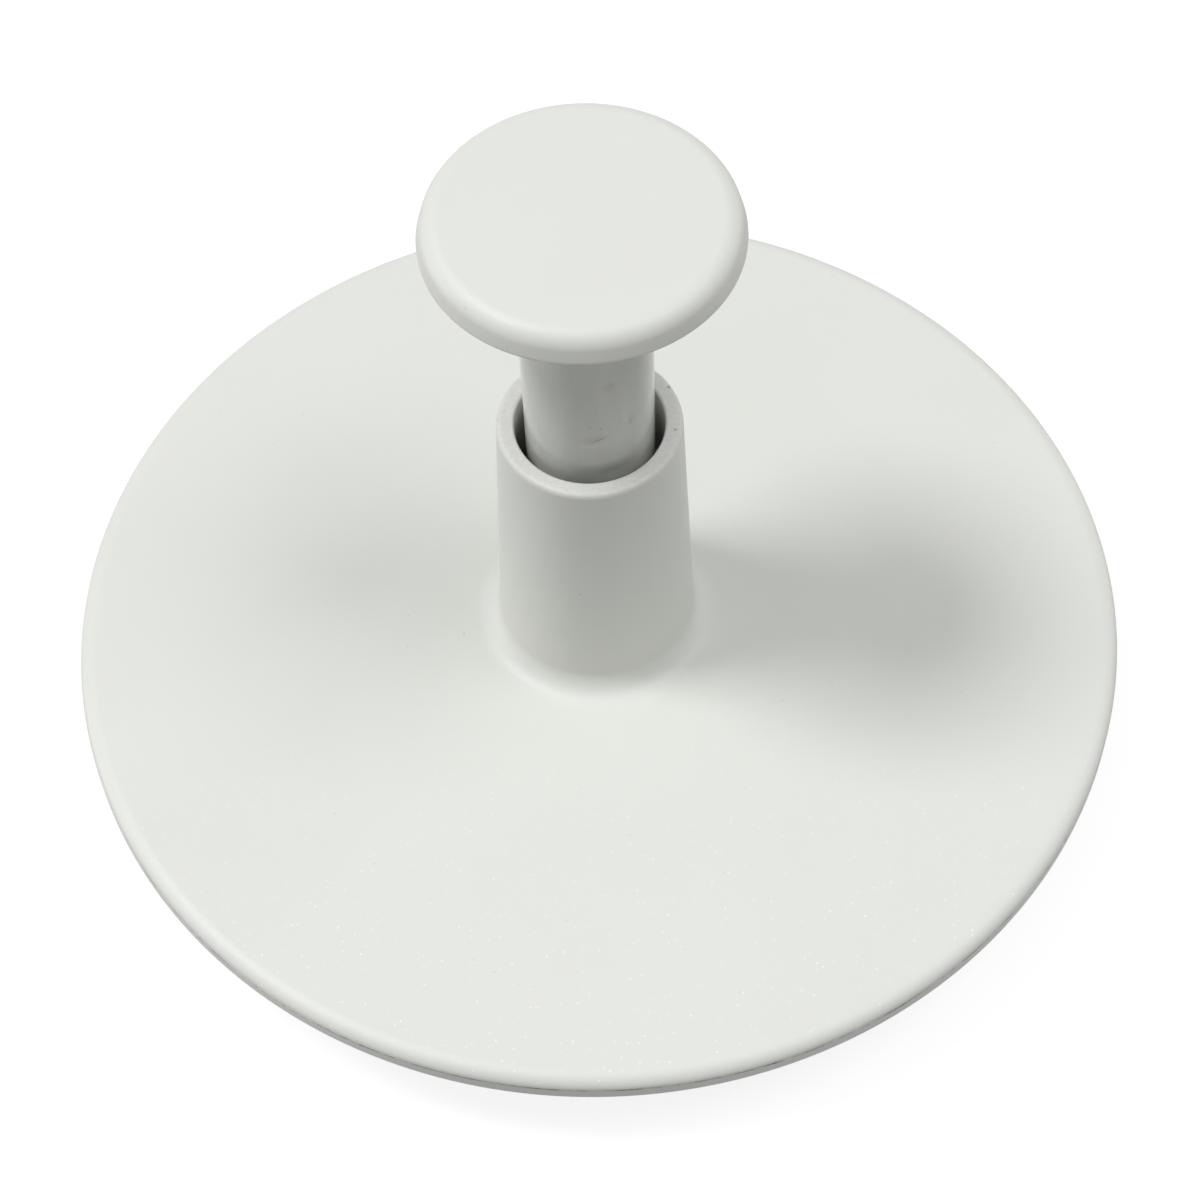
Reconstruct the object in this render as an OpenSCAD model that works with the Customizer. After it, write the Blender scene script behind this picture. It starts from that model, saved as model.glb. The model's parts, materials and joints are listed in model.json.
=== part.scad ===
// Plunger cookie cutter: a round press disc with a guide tube above it and a petal-shaped cutting wall
// below it, and a sprung plunger that carries a veined embossing plate inside the wall.
// Sizes are in millimetres. The origin is the centre of the cutting edge's plane, and +Z points at the knob.

/* [Press disc] */
// Diameter of the press disc
disc_d = 100; // [94:1:130]
// Thickness of the press disc
disc_t = 2.6; // [1.8:0.1:4]
// Round on the disc's upper edge
disc_edge_r = 1; // [0.3:0.1:1.4]

/* [Guide tube] */
// Height of the tube above the disc
tube_h = 29; // [27:0.2:40]
// Wall of the tube at its rim
tube_wall = 1.55; // [1.3:0.05:2.5]
// Draft of the tube's outer side, in degrees
tube_draft = 2.25; // [0.5:0.25:3]
// Round on the rim's outer edge
tube_rim_r = 0.4; // [0.3:0.1:1]
// Chamfer on the rim's inner edge
rim_chamfer = 0.1; // [0.1:0.1:0.6]
// Fillet between the tube's foot and the disc
tube_foot_r = 2.2; // [1:0.2:5]
// Thickness of the web across the tube's foot
web_t = 2.4; // [1.6:0.2:4]
// Depth of the recess under the web
recess_h = 3.4; // [2.6:0.2:5]

/* [Cutting wall] */
// Depth of the cutting wall below the disc
blade_h = 10; // [8:0.5:16]
// Thickness of the cutting wall at its root
blade_wall = 1.3; // [1:0.1:2]
// Thickness of the cutting wall at its edge
blade_edge_t = 0.5; // [0.3:0.1:0.9]
// Height of the bevel that thins the wall to its edge
bevel_h = 6; // [3:0.5:7.5]
// Width of wall that stays full on each side of a notch
notch_land = 1.2; // [0.6:0.1:2]

/* [Petals] */
// Number of petals
petals = 12; // [10:1:14]
// Distance from the axis to the tip of the plate's petals
petal_reach = 40.5; // [37:0.5:42]
// Length of a petal between its two points
petal_l = 35; // [31:0.5:37]
// Greatest width of a petal
petal_w = 14.6; // [13.6:0.2:18]

/* [Embossing plate] */
// Thickness of the plate
plate_t = 2; // [1.6:0.1:3]
// Height of the raised veins and seeds
vein_h = 0.5; // [0.3:0.1:0.8]
// Greatest width of a vein
vein_w = 0.8; // [0.5:0.1:1.2]
// Length of a petal's midrib
midrib_l = 24; // [16:0.5:25]
// Distance from a petal's tip to the end of its midrib
midrib_margin = 3.6; // [2:0.2:5]
// Length of the veins beside the midrib
side_vein_l = 14; // [8:0.5:16]
// Distance from a petal's reach to the end of the veins beside the midrib
side_vein_margin = 8; // [6:0.5:12]
// Angle between a midrib and the veins beside it
vein_fan = 7; // [5:0.5:8]
// Number of seeds in the flower's heart
seeds = 34; // [12:1:40]
// Diameter of a seed where it meets the plate
seed_d = 1.5; // [1:0.1:1.8]
// Spacing of the seeds
seed_pitch = 2.6; // [2.4:0.1:3]
// Diameter of the raised ring round the heart
heart_d = 19; // [18:0.5:22]
// Wall of the boss that takes the spindle
boss_wall = 2.3; // [1.6:0.1:2.6]

/* [Plunger] */
// Diameter of the thumb knob
knob_d = 26.6; // [20:0.2:36]
// Thickness of the thumb knob
knob_t = 2.8; // [2.7:0.1:5]
// Round on the knob's upper edge
knob_edge_r = 1.5; // [0.6:0.1:2]
// Round on the knob's lower edge
knob_lip_r = 0.2; // [0.2:0.1:0.8]
// Angle by which the knob's side leans in
knob_draft = 16; // [4:1:20]
// Diameter of the knob's stem
stem_d = 11.5; // [11:0.1:13]
// Length of stem that shows between the rim and the knob
stem_show = 24.1; // [15:0.1:30]
// Fillet between the stem and the knob
stem_neck_r = 0.8; // [0.3:0.1:2]
// Diameter of the spindle
spindle_d = 8; // [7:0.1:8.6]
// Diameter of the spindle's core hole
spindle_core_d = 4.8; // [3:0.2:5.6]
// Travel of the plunger
stroke = 12; // [8:0.5:14]

/* [Return spring] */
// Diameter of the spring's wire
wire_d = 0.8; // [0.6:0.05:1]
// Number of turns
spring_turns = 6.5; // [5:0.5:7]
// Gap between turns at the spring's closed ends
end_turn_gap = 0.45; // [0.42:0.01:0.6]

/* [Clearances] */
// Clearance round the stem in the tube
stem_clearance = 0.95; // [0.4:0.05:1.2]
// Clearance round the spindle in the web
guide_clearance = 0.1; // [0.05:0.05:0.2]
// Clearance round the spindle where it is bonded
bond_clearance = 0.05; // [0.02:0.01:0.1]
// Clearance round the plate inside the cutting wall
plate_clearance = 0.35; // [0.25:0.05:0.6]
// Gap between the plate and the disc at rest
rest_gap = 0.2; // [0.1:0.05:0.4]
// Clearance round and above the plate's boss in the recess
boss_clearance = 0.5; // [0.3:0.1:0.8]
// Clearance between the spindle and the spring
spring_clearance = 0.9; // [0.5:0.1:1.2]
// Gap at each end of the spring and of the spindle
seat_gap = 0.1; // [0.05:0.05:0.2]
// Travel that is left when the spring is nearly closed
stroke_reserve = 0.2; // [0.1:0.1:1]

/* [Hidden] */
$fn = 96;

moulding = "#e6e7e2";
moulding_shade = "#dcded8";
steel = "#a9adb0";

golden_angle = 180 * (3 - sqrt(5));
rings_per_turn = 8;
wire_sides = 6;
// How far a cut runs past the face that it leaves
over = 1;

// Heights above the cutting edge
disc_top_z = blade_h + disc_t;
rim_z = disc_top_z + tube_h;
web_z = blade_h + recess_h;
web_top_z = web_z + web_t;
knob_z = rim_z + stem_show;
spring_closed_h = (spring_turns + 1) * wire_d;
stem_end_z = web_top_z + spring_closed_h + stroke_reserve + stroke;
plate_top_z = blade_h - rest_gap;
plate_z = plate_top_z - plate_t;
boss_top_z = web_z - boss_clearance;
socket_z = plate_z + plate_t / 2;
spindle_z = socket_z + seat_gap;
spindle_top_z = knob_z - seat_gap;

// Radii
disc_r = disc_d / 2;
stem_r = stem_d / 2;
spindle_r = spindle_d / 2;
bore_r = stem_r + stem_clearance;
rim_r = bore_r + tube_wall;
foot_r = rim_r + tube_h * tan(tube_draft);
socket_r = spindle_r + bond_clearance;
boss_r = socket_r + boss_wall;
recess_r = boss_r + boss_clearance;
coil_r = spindle_r + spring_clearance + wire_d / 2;

// A petal is a lens between two equal circles
function lens_r(l, w) = (l * l + w * w) / (4 * w);
petal_mid = petal_reach - petal_l / 2;
petal_core_r = petal_mid / 2;
petal_step = 360 / petals;
wall_in = plate_clearance;
wall_out = plate_clearance + blade_wall;

// Radius of the tube's outer side at a height
function tube_r_at(z) = foot_r - (z - disc_top_z) * tan(tube_draft);

// A lens along X with pointed ends, grown outwards by a margin
module lens(l, w, grow = 0) {
    flank = lens_r(l, w);
    intersection() {
        translate([0, flank - w / 2]) circle(flank + grow);
        translate([0, w / 2 - flank]) circle(flank + grow);
    }
}

// Places its children on every petal's axis, with a notch on the X axis
module each_petal() {
    for (i = [0 : petals - 1]) rotate((i + 0.5) * petal_step) children();
}

// The petals' common outline, grown outwards by a margin
module flower(grow = 0) {
    circle(petal_core_r);
    each_petal() translate([petal_mid, 0]) lens(petal_l, petal_w, grow);
}

// One petal whose flanks lean outwards as they rise
module leaning_petal(grow_low, grow_top, h) {
    flank = lens_r(petal_l, petal_w);
    intersection_for(side = [-1, 1])
        translate([0, side * (flank - petal_w / 2), 0])
            cylinder(r1 = flank + grow_low, r2 = flank + grow_top, h = h);
}

// A rectangle from the axis outwards, with its upper outer corner rounded
module rounded_step(w, h, r) {
    square([w - r, h]);
    square([w, h - r]);
    translate([w - r, h - r]) circle(r);
}

// Half section of the thumb knob: a side that leans in, between a small lower round and a larger upper one
module knob_section() {
    lip_x = knob_d / 2 - knob_lip_r;
    edge_z = knob_t - knob_edge_r;
    touch_z = edge_z + knob_edge_r * sin(knob_draft);
    touch_x = knob_d / 2 - (touch_z - knob_lip_r) * tan(knob_draft);
    edge_x = touch_x - knob_edge_r * cos(knob_draft);
    polygon([[0, 0], [lip_x, 0], [knob_d / 2, knob_lip_r], [touch_x, touch_z], [edge_x, knob_t], [0, knob_t]]);
    translate([lip_x, knob_lip_r]) circle(knob_lip_r);
    translate([edge_x, edge_z]) circle(knob_edge_r);
}

// Fills an inside corner up to a fillet
module cove(r) {
    difference() {
        square(r);
        translate([r, r]) circle(r);
    }
}

// The sector of one petal, drawn in from the notches on its two sides
module petal_sector(inset) {
    half = petal_step / 2;
    reach = 2 * petal_reach;
    translate([inset / sin(half), 0])
        polygon([[0, 0], reach * [cos(half), -sin(half)], reach * [cos(half), sin(half)]]);
}

// What the bevel takes off the outside of every petal's wall
module edge_bevels() {
    lean = (blade_wall - blade_edge_t) / bevel_h;
    each_petal() difference() {
        translate([0, 0, -over]) linear_extrude(bevel_h + 2 * over) petal_sector(notch_land);
        translate([petal_mid, 0, -2 * over])
            leaning_petal(wall_out - lean * (bevel_h + 2 * over), wall_out + lean * 2 * over, bevel_h + 4 * over);
    }
}

// The cutting wall: straight inside, where the plate slides, and bevelled outside to a thin edge
module cutting_wall() {
    difference() {
        linear_extrude(blade_h + disc_t / 2) flower(wall_out);
        translate([0, 0, -over]) linear_extrude(blade_h + over) flower(wall_in);
        edge_bevels();
    }
}

// Disc and tube as one turned profile, before the bores
module disc_and_tube() {
    shoulder_z = rim_z - tube_rim_r;
    shoulder_r = tube_r_at(shoulder_z);
    rotate_extrude() {
        translate([0, blade_h]) rounded_step(disc_r, disc_t, disc_edge_r);
        polygon([[0, blade_h], [tube_r_at(blade_h), blade_h], [shoulder_r, shoulder_z], [0, shoulder_z]]);
        translate([0, shoulder_z - tube_rim_r]) rounded_step(shoulder_r, 2 * tube_rim_r, tube_rim_r);
        translate([tube_r_at(disc_top_z + tube_foot_r), disc_top_z]) cove(tube_foot_r);
    }
}

module cutter_body() {
    color(moulding) difference() {
        union() {
            disc_and_tube();
            cutting_wall();
        }
        translate([0, 0, web_top_z]) cylinder(r = bore_r, h = rim_z + over - web_top_z);
        translate([0, 0, rim_z - rim_chamfer])
            cylinder(r1 = bore_r, r2 = bore_r + rim_chamfer + over, h = rim_chamfer + over);
        translate([0, 0, web_z - over]) cylinder(r = spindle_r + guide_clearance, h = web_t + 2 * over);
        translate([0, 0, blade_h - over]) cylinder(r = recess_r, h = recess_h + over);
    }
}

module plunger_knob() {
    color(moulding) difference() {
        rotate_extrude() {
            translate([0, knob_z]) knob_section();
            translate([0, stem_end_z]) square([stem_r, knob_z + knob_lip_r - stem_end_z]);
            translate([stem_r, knob_z]) mirror([0, 1]) cove(stem_neck_r);
        }
        translate([0, 0, stem_end_z - over]) cylinder(r = socket_r, h = knob_z - stem_end_z + over);
    }
}

module plunger_spindle() {
    color(moulding_shade) difference() {
        translate([0, 0, spindle_z]) cylinder(r = spindle_r, h = spindle_top_z - spindle_z);
        translate([0, 0, boss_top_z]) cylinder(d = spindle_core_d, h = spindle_top_z + over - boss_top_z);
    }
}

// Veins of one petal, in the plane: a midrib and a fanned pair beside it
module petal_veins() {
    translate([petal_reach - midrib_margin - midrib_l / 2, 0]) lens(midrib_l, vein_w);
    for (side = [-1, 1])
        rotate(side * vein_fan) translate([petal_reach - side_vein_margin - side_vein_l / 2, 0])
            lens(side_vein_l, vein_w);
}

module embossing_plate() {
    relief_z = plate_z - vein_h;
    relief_t = vein_h + plate_t / 4;
    seed_r = (seed_d * seed_d / 4 + vein_h * vein_h) / (2 * vein_h);
    color(moulding) difference() {
        union() {
            translate([0, 0, plate_z]) linear_extrude(plate_t) flower();
            translate([0, 0, plate_z]) cylinder(r = boss_r, h = boss_top_z - plate_z);
            translate([0, 0, relief_z]) linear_extrude(relief_t) each_petal() petal_veins();
            translate([0, 0, relief_z]) linear_extrude(relief_t) difference() {
                circle(d = heart_d);
                circle(d = heart_d - 2 * vein_w);
            }
            intersection() {
                for (n = [1 : seeds])
                    rotate(n * golden_angle) translate([seed_pitch / 2 * sqrt(n), 0, relief_z + seed_r])
                        sphere(seed_r);
                translate([0, 0, relief_z]) cylinder(d = heart_d, h = relief_t);
            }
        }
        translate([0, 0, socket_z]) cylinder(r = socket_r, h = boss_top_z + over - socket_z);
    }
}

// Spring: a wire wound as a helix that lies closer at its two ends
spring_low_z = web_top_z + seat_gap + wire_d / 2;
spring_high_z = stem_end_z - seat_gap - wire_d / 2;
end_pitch = wire_d + end_turn_gap;
open_pitch = (spring_high_z - spring_low_z - 2 * end_pitch) / (spring_turns - 2);
spring_steps = spring_turns * rings_per_turn;

function spring_z(turn) = spring_low_z + end_pitch * (min(turn, 1) + max(turn - spring_turns + 1, 0))
    + open_pitch * max(min(turn, spring_turns - 1) - 1, 0);
function spring_point(step) = let (turn = step / rings_per_turn)
    [coil_r * cos(360 * turn), coil_r * sin(360 * turn), spring_z(turn)];
function wire_ring(step) = let (p = spring_point(step), a = 360 * step / rings_per_turn)
    [for (s = [0 : wire_sides - 1]) let (b = 360 * s / wire_sides)
        p + wire_d / 2 * [cos(b) * cos(a), cos(b) * sin(a), sin(b)]];

module return_spring() {
    points = [for (k = [0 : spring_steps]) each wire_ring(k)];
    sides = [for (k = [0 : spring_steps - 1], s = [0 : wire_sides - 1])
        let (low = k * wire_sides, next = (s + 1) % wire_sides)
            each [[low + s, low + wire_sides + s, low + next],
                  [low + next, low + wire_sides + s, low + wire_sides + next]]];
    last = spring_steps * wire_sides;
    ends = [for (s = [1 : wire_sides - 2]) each [[0, s, s + 1], [last, last + s + 1, last + s]]];
    color(steel) polyhedron(points, concat(sides, ends));
}

spring_gap = min([for (i = [0 : spring_steps], j = [i + rings_per_turn / 2 : 1 : spring_steps])
    norm(spring_point(i) - spring_point(j))]) - wire_d;
echo(str("return_spring least gap to itself, mm: ", spring_gap));

cutter_body();
plunger_knob();
plunger_spindle();
embossing_plate();
return_spring();
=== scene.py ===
import json
import math

import bmesh
import bpy
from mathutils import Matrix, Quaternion, Vector

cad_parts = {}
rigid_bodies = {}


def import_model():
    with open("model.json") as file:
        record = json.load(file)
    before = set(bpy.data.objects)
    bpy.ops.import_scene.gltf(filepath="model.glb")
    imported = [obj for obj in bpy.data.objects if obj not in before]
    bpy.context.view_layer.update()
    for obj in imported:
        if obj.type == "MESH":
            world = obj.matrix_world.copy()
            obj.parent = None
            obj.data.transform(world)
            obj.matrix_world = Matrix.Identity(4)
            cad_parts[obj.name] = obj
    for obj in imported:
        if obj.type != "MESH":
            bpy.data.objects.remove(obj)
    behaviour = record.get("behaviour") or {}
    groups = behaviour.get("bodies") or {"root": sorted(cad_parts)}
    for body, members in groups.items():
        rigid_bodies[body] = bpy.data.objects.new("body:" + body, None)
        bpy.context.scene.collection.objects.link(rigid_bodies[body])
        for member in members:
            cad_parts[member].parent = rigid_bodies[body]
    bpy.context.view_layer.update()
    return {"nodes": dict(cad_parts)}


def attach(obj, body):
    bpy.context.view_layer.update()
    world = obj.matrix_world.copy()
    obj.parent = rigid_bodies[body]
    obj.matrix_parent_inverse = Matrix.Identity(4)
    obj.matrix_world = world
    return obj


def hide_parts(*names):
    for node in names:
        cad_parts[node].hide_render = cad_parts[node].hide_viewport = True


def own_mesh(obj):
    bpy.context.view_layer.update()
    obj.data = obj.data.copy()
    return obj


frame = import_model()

mm = 0.001  # the pieces' sizes below are in millimetres, those of camera and studio in metres
pickSlack = 0.004  # mm, how near a point lies to the ring or level that it belongs to
weldGap = 0.001  # mm, points nearer than this become one
crispAngle = 35  # degrees, sharper edges stay crisp
print("frame loaded:", ", ".join(sorted(frame["nodes"])))


# the studio camera stands in front of the cutter and looks down on it, tipped a little to one side
cameraSet = {
    "place": (0.0, -0.14597, 0.23034),
    "aim": (0.0003, 0.0023, 0.010),
    "roll": -2.261,  # degrees, the object leans to the left in the picture
    "lens": 81.3,
    "sensor": 36.0,
    "clipStart": 0.01,
}


def addCamera(s):
    bpy.ops.object.camera_add(location=s["place"])
    camera = bpy.context.object
    camera.name = "studioCamera"
    camera.data.lens = s["lens"]
    camera.data.sensor_width = s["sensor"]
    camera.data.clip_start = s["clipStart"]
    look = (Vector(s["aim"]) - Vector(s["place"])).to_track_quat("-Z", "Y")
    camera.rotation_mode = "QUATERNION"
    camera.rotation_quaternion = look @ Quaternion((0, 0, 1), math.radians(s["roll"]))
    bpy.context.scene.camera = camera


addCamera(cameraSet)
bpy.context.scene.view_settings.view_transform = "Standard"
print("camera placed")


# modelling helpers: each one is a few steps of the same handwork

def startPiece(name):
    # the primitive that was just added becomes the piece, with every part of it selected
    piece = bpy.context.object
    piece.name = name
    piece.data.name = name
    bpy.ops.object.mode_set(mode="EDIT")
    bpy.ops.mesh.select_all(action="SELECT")
    return piece


def onlySelect(*pieces):
    bpy.ops.object.select_all(action="DESELECT")
    for piece in pieces:
        piece.select_set(True)
    bpy.context.view_layer.objects.active = pieces[0]


def turnRings(rings, centre=(0, 0)):
    # extrudes the selected ring from one radius and height to the next, as on a lathe
    radius, height = rings[0]
    for newRadius, newHeight in rings[1:]:
        lift = (0, 0, (newHeight - height) * mm)
        bpy.ops.mesh.extrude_edges_move(TRANSFORM_OT_translate={"value": lift})
        scale = newRadius / radius
        middle = (centre[0] * mm, centre[1] * mm, newHeight * mm)
        bpy.ops.transform.resize(value=(scale, scale, 1), center_override=middle)
        radius, height = newRadius, newHeight


def addRing(rings, steps, centre=(0, 0)):
    # the first ring, as a circle that startPiece then takes up
    radius, height = rings[0]
    bpy.ops.object.select_all(action="DESELECT")
    bpy.ops.mesh.primitive_circle_add(
        vertices=steps, radius=radius * mm, location=(0, 0, 0))
    piece = bpy.context.object
    piece.location = (centre[0] * mm, centre[1] * mm, height * mm)
    bpy.ops.object.transform_apply(location=True, rotation=True, scale=True)


def pickRing(piece, radius, height):
    # selects the ring of edges at one radius and height
    bpy.ops.mesh.select_mode(type="EDGE")
    bpy.ops.mesh.select_all(action="DESELECT")
    shape = bmesh.from_edit_mesh(piece.data)
    for edge in shape.edges:
        edge.select_set(all(
            abs(v.co.xy.length - radius * mm) < pickSlack * mm
            and abs(v.co.z - height * mm) < pickSlack * mm
            for v in edge.verts))
    bmesh.update_edit_mesh(piece.data)


def roundRing(piece, radius, height, size, segments):
    pickRing(piece, radius, height)
    bpy.ops.mesh.bevel(offset=size * mm, offset_type="OFFSET", segments=segments,
                       profile=0.5, affect="EDGES", clamp_overlap=False)


def closeWall():
    # joins the first and the last ring, so that the turned shape is one closed skin
    bpy.ops.mesh.select_mode(type="EDGE")
    bpy.ops.mesh.select_all(action="DESELECT")
    bpy.ops.mesh.select_non_manifold()
    bpy.ops.mesh.bridge_edge_loops()


def facesOut():
    bpy.ops.mesh.select_all(action="SELECT")
    bpy.ops.mesh.remove_doubles(threshold=weldGap * mm)
    bpy.ops.mesh.normals_make_consistent(inside=False)


def boolean(piece, other, operation):
    onlySelect(piece)
    cut = piece.modifiers.new("join", "BOOLEAN")
    cut.object = other
    cut.operation = operation
    cut.solver = "MANIFOLD"
    bpy.ops.object.modifier_apply(modifier=cut.name)
    bpy.data.objects.remove(other)


def finishSkin(piece):
    # smooth skin with crisp edges, where flat faces keep their own normals beside a round
    onlySelect(piece)
    bpy.ops.object.shade_smooth_by_angle(angle=math.radians(crispAngle))
    weighted = piece.modifiers.new("flats", "WEIGHTED_NORMAL")
    weighted.keep_sharp = True
    bpy.ops.object.modifier_apply(modifier=weighted.name)


# cutter body: disc, guide tube and cutting wall in one moulding; a pair is a round's size and steps
bodySet = {
    "steps": 256,
    "discRadius": 50.0,
    "underside": 10.0,
    "discTop": 12.6,
    "edgeIn": 1.6,  # how far in the rounded upper edge starts
    "edgeSteps": 12,
    "partingLine": 11.42,
    "partingDepth": 0.09,
    "partingWidth": 0.16,
    "lowerEdge": (0.15, 3),
    "footRadius": 9.389,
    "footFillet": (2.2, 14),
    "rimTop": 41.6,
    "rimRadius": 8.25,
    "rimRound": (0.5, 8),
    "rimChamfer": 0.14,
    "rimStray": 0.03,  # how far the inner edge strays
    "strayEven": 0.6,  # at 1 every point strays equally far
    "straySeed": 7,
    "boreRadius": 6.7,
    "webTop": 15.8,
    "webUnder": 13.4,
    "guideRadius": 4.1,
    "recessRadius": 6.85,
}

# one flank of a petal is an arc, so its wall is part of a turned ring round the arc's centre
petalSet = {
    "petals": 12,
    "flankSteps": 192,
    "middle": 23.0,
    "flankOffset": 17.326,
    "flankRadius": 24.626,
    "innerGrow": 0.35,
    "edgeGrow": 0.85,
    "outerGrow": 1.65,
    "bevelTop": 6.0,
    "rootTop": 10.8,
    "cutSlack": 0.0001,  # a point this near a cut lies on it
    "weldGap": 0.002,
}


def cutFlank(s):
    # keeps the half of a petal between its tip and its notch
    half = math.pi / s["petals"]
    cuts = [((s["middle"] * mm, 0, 0), (1, 0, 0)),
            ((0, 0, 0), (0, 1, 0)),
            ((0, 0, 0), (math.sin(half), -math.cos(half), 0))]
    for place, keepSide in cuts:
        bpy.ops.mesh.select_all(action="SELECT")
        bpy.ops.mesh.bisect(plane_co=place, plane_no=keepSide, clear_inner=True,
                            threshold=s["cutSlack"] * mm)


def copyRound(count):
    # copies what was modelled along X round the axis, and turns it so that a notch lies on X
    step = 2 * math.pi / count
    bpy.ops.mesh.select_all(action="SELECT")
    bpy.ops.mesh.spin(steps=count - 1, angle=step * (count - 1), dupli=True,
                      center=(0, 0, 0), axis=(0, 0, 1), use_auto_merge=False)
    bpy.ops.mesh.select_all(action="SELECT")
    bpy.ops.transform.rotate(value=step / 2, orient_axis="Z", center_override=(0, 0, 0))


def repeatPetals(piece, s):
    # the half petal is mirrored and copied round the axis
    bpy.ops.object.mode_set(mode="OBJECT")
    onlySelect(piece)
    mirror = piece.modifiers.new("otherFlank", "MIRROR")
    mirror.use_axis = (False, True, False)
    mirror.use_clip = False
    mirror.merge_threshold = s["weldGap"] * mm
    bpy.ops.object.modifier_apply(modifier=mirror.name)
    bpy.ops.object.mode_set(mode="EDIT")
    copyRound(s["petals"])
    bpy.ops.mesh.remove_doubles(threshold=s["weldGap"] * mm)


def makeCuttingWall(s):
    centre = (s["middle"], -s["flankOffset"])
    inner, edge, outer = (s["flankRadius"] + s[k] for k in ("innerGrow", "edgeGrow", "outerGrow"))
    rings = [(inner, 0), (edge, 0), (outer, s["bevelTop"]),
             (outer, s["rootTop"]), (inner, s["rootTop"])]
    addRing(rings, s["flankSteps"], centre)
    wall = startPiece("cuttingWall")
    turnRings(rings, centre)
    closeWall()
    facesOut()
    cutFlank(s)
    repeatPetals(wall, s)
    facesOut()
    bpy.ops.object.mode_set(mode="OBJECT")
    return wall


def edgeRings(s, start):
    # the disc's upper edge, a quarter of an ellipse from above the parting line to the flat top
    rings = []
    for number in range(1, s["edgeSteps"] + 1):
        turn = math.radians(90 * number / s["edgeSteps"])
        rings.append((s["discRadius"] - s["edgeIn"] * (1 - math.cos(turn)),
                      start + (s["discTop"] - start) * math.sin(turn)))
    return rings


def makeCutterBody(s, wall):
    line, half = s["partingLine"], s["partingWidth"] / 2
    rings = [
        (s["guideRadius"], s["webUnder"]),
        (s["recessRadius"], s["webUnder"]),
        (s["recessRadius"], s["underside"]),
        (s["discRadius"], s["underside"]),
        (s["discRadius"], line - half),
        (s["discRadius"] - s["partingDepth"], line),
        (s["discRadius"], line + half),
        *edgeRings(s, line + half),
        (s["footRadius"], s["discTop"]),
        (s["rimRadius"], s["rimTop"]),
        (s["boreRadius"] + s["rimChamfer"], s["rimTop"]),
        (s["boreRadius"], s["rimTop"] - s["rimChamfer"]),
        (s["boreRadius"], s["webTop"]),
        (s["guideRadius"], s["webTop"]),
    ]
    addRing(rings, s["steps"])
    body = startPiece("cutterBody")
    turnRings(rings)
    closeWall()
    roundRing(body, s["discRadius"], s["underside"], *s["lowerEdge"])
    roundRing(body, s["footRadius"], s["discTop"], *s["footFillet"])
    roundRing(body, s["rimRadius"], s["rimTop"], *s["rimRound"])
    pickRing(body, s["boreRadius"] + s["rimChamfer"], s["rimTop"])
    bpy.ops.transform.vertex_random(
        offset=s["rimStray"] * mm, uniform=s["strayEven"], seed=s["straySeed"])
    facesOut()
    bpy.ops.object.mode_set(mode="OBJECT")
    boolean(body, wall, "UNION")
    finishSkin(body)
    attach(body, "cutter")
    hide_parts("cutter_body")
    return body


cutterBody = makeCutterBody(bodySet, makeCuttingWall(petalSet))
print("cutter body modelled:", len(cutterBody.data.polygons), "faces")


# thumb knob with its stem, turned in one; a pair is a round's size and steps
knobSet = {
    "steps": 160,
    "socketRadius": 4.05,
    "stemRadius": 5.75,
    "stemEnd": 34.0,
    "stemEdge": (0.3, 3),
    "neckFillet": (0.8, 6),
    "knobRadius": 13.38,
    "knobUnder": 65.92,
    "knobTop": 68.5,
    "knobRound": (1.32, 16),
    "knobLip": (0.2, 5),
    "lipHeight": 0.35,  # the side is upright this far, and leans in above it
    "sideLean": 15.0,  # degrees
    "flatRadius": 10.0,
}


def makeKnob(s):
    lipTop = s["knobUnder"] + s["lipHeight"]
    shoulder = s["knobRadius"] - (s["knobTop"] - lipTop) * math.tan(math.radians(s["sideLean"]))
    rings = [
        (s["socketRadius"], s["knobUnder"]),
        (s["socketRadius"], s["stemEnd"]),
        (s["stemRadius"], s["stemEnd"]),
        (s["stemRadius"], s["knobUnder"]),
        (s["knobRadius"], s["knobUnder"]),
        (s["knobRadius"], lipTop),
        (shoulder, s["knobTop"]),
        (s["flatRadius"], s["knobTop"]),
    ]
    addRing(rings, s["steps"])
    knob = startPiece("plungerKnob")
    turnRings(rings)
    for radius, height in (rings[0], rings[-1]):
        pickRing(knob, radius, height)
        bpy.ops.mesh.edge_face_add()
    roundRing(knob, s["stemRadius"], s["stemEnd"], *s["stemEdge"])
    roundRing(knob, s["stemRadius"], s["knobUnder"], *s["neckFillet"])
    roundRing(knob, s["knobRadius"], s["knobUnder"], *s["knobLip"])
    roundRing(knob, shoulder, s["knobTop"], *s["knobRound"])
    facesOut()
    bpy.ops.object.mode_set(mode="OBJECT")
    finishSkin(knob)
    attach(knob, "plunger")
    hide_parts("plunger_knob")
    return knob


plungerKnob = makeKnob(knobSet)
print("knob modelled:", len(plungerKnob.data.polygons), "faces")


# embossing plate: the flower's plate, a boss above it, and the veins and seeds that it prints below
plateSet = {
    "under": 7.8,
    "top": 9.8,
    "softEdge": (0.2, 3),  # a round's size and steps
    "bossRadius": 6.35,
    "bossTop": 12.9,
    "bossSteps": 96,
    "socketRadius": 4.05,
    "socketFloor": 8.8,
    "relief": 0.5,
    "reliefRoot": 0.07,  # the widest line of a vein lies this deep in the plate
    "fanHub": (0.23, 0.11, 0),  # off the axis, so that no line of the fan runs along a midrib
    "veinWidth": 0.8,
    "veinSteps": (16, 32),  # round the vein and along it
    "midrib": (12.9, 36.9),  # from and to, along the petal
    "sideVein": (18.5, 32.5),
    "veinFan": 7.0,  # degrees
    "heartRadius": 9.1,
    "heartSteps": (128, 16),  # along the ring and round it
    "seeds": 34,
    "seedDome": 0.8125,
    "seedPitch": 2.6,
    "seedSteps": (20, 14),  # round the seed and from pole to pole
}


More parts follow.
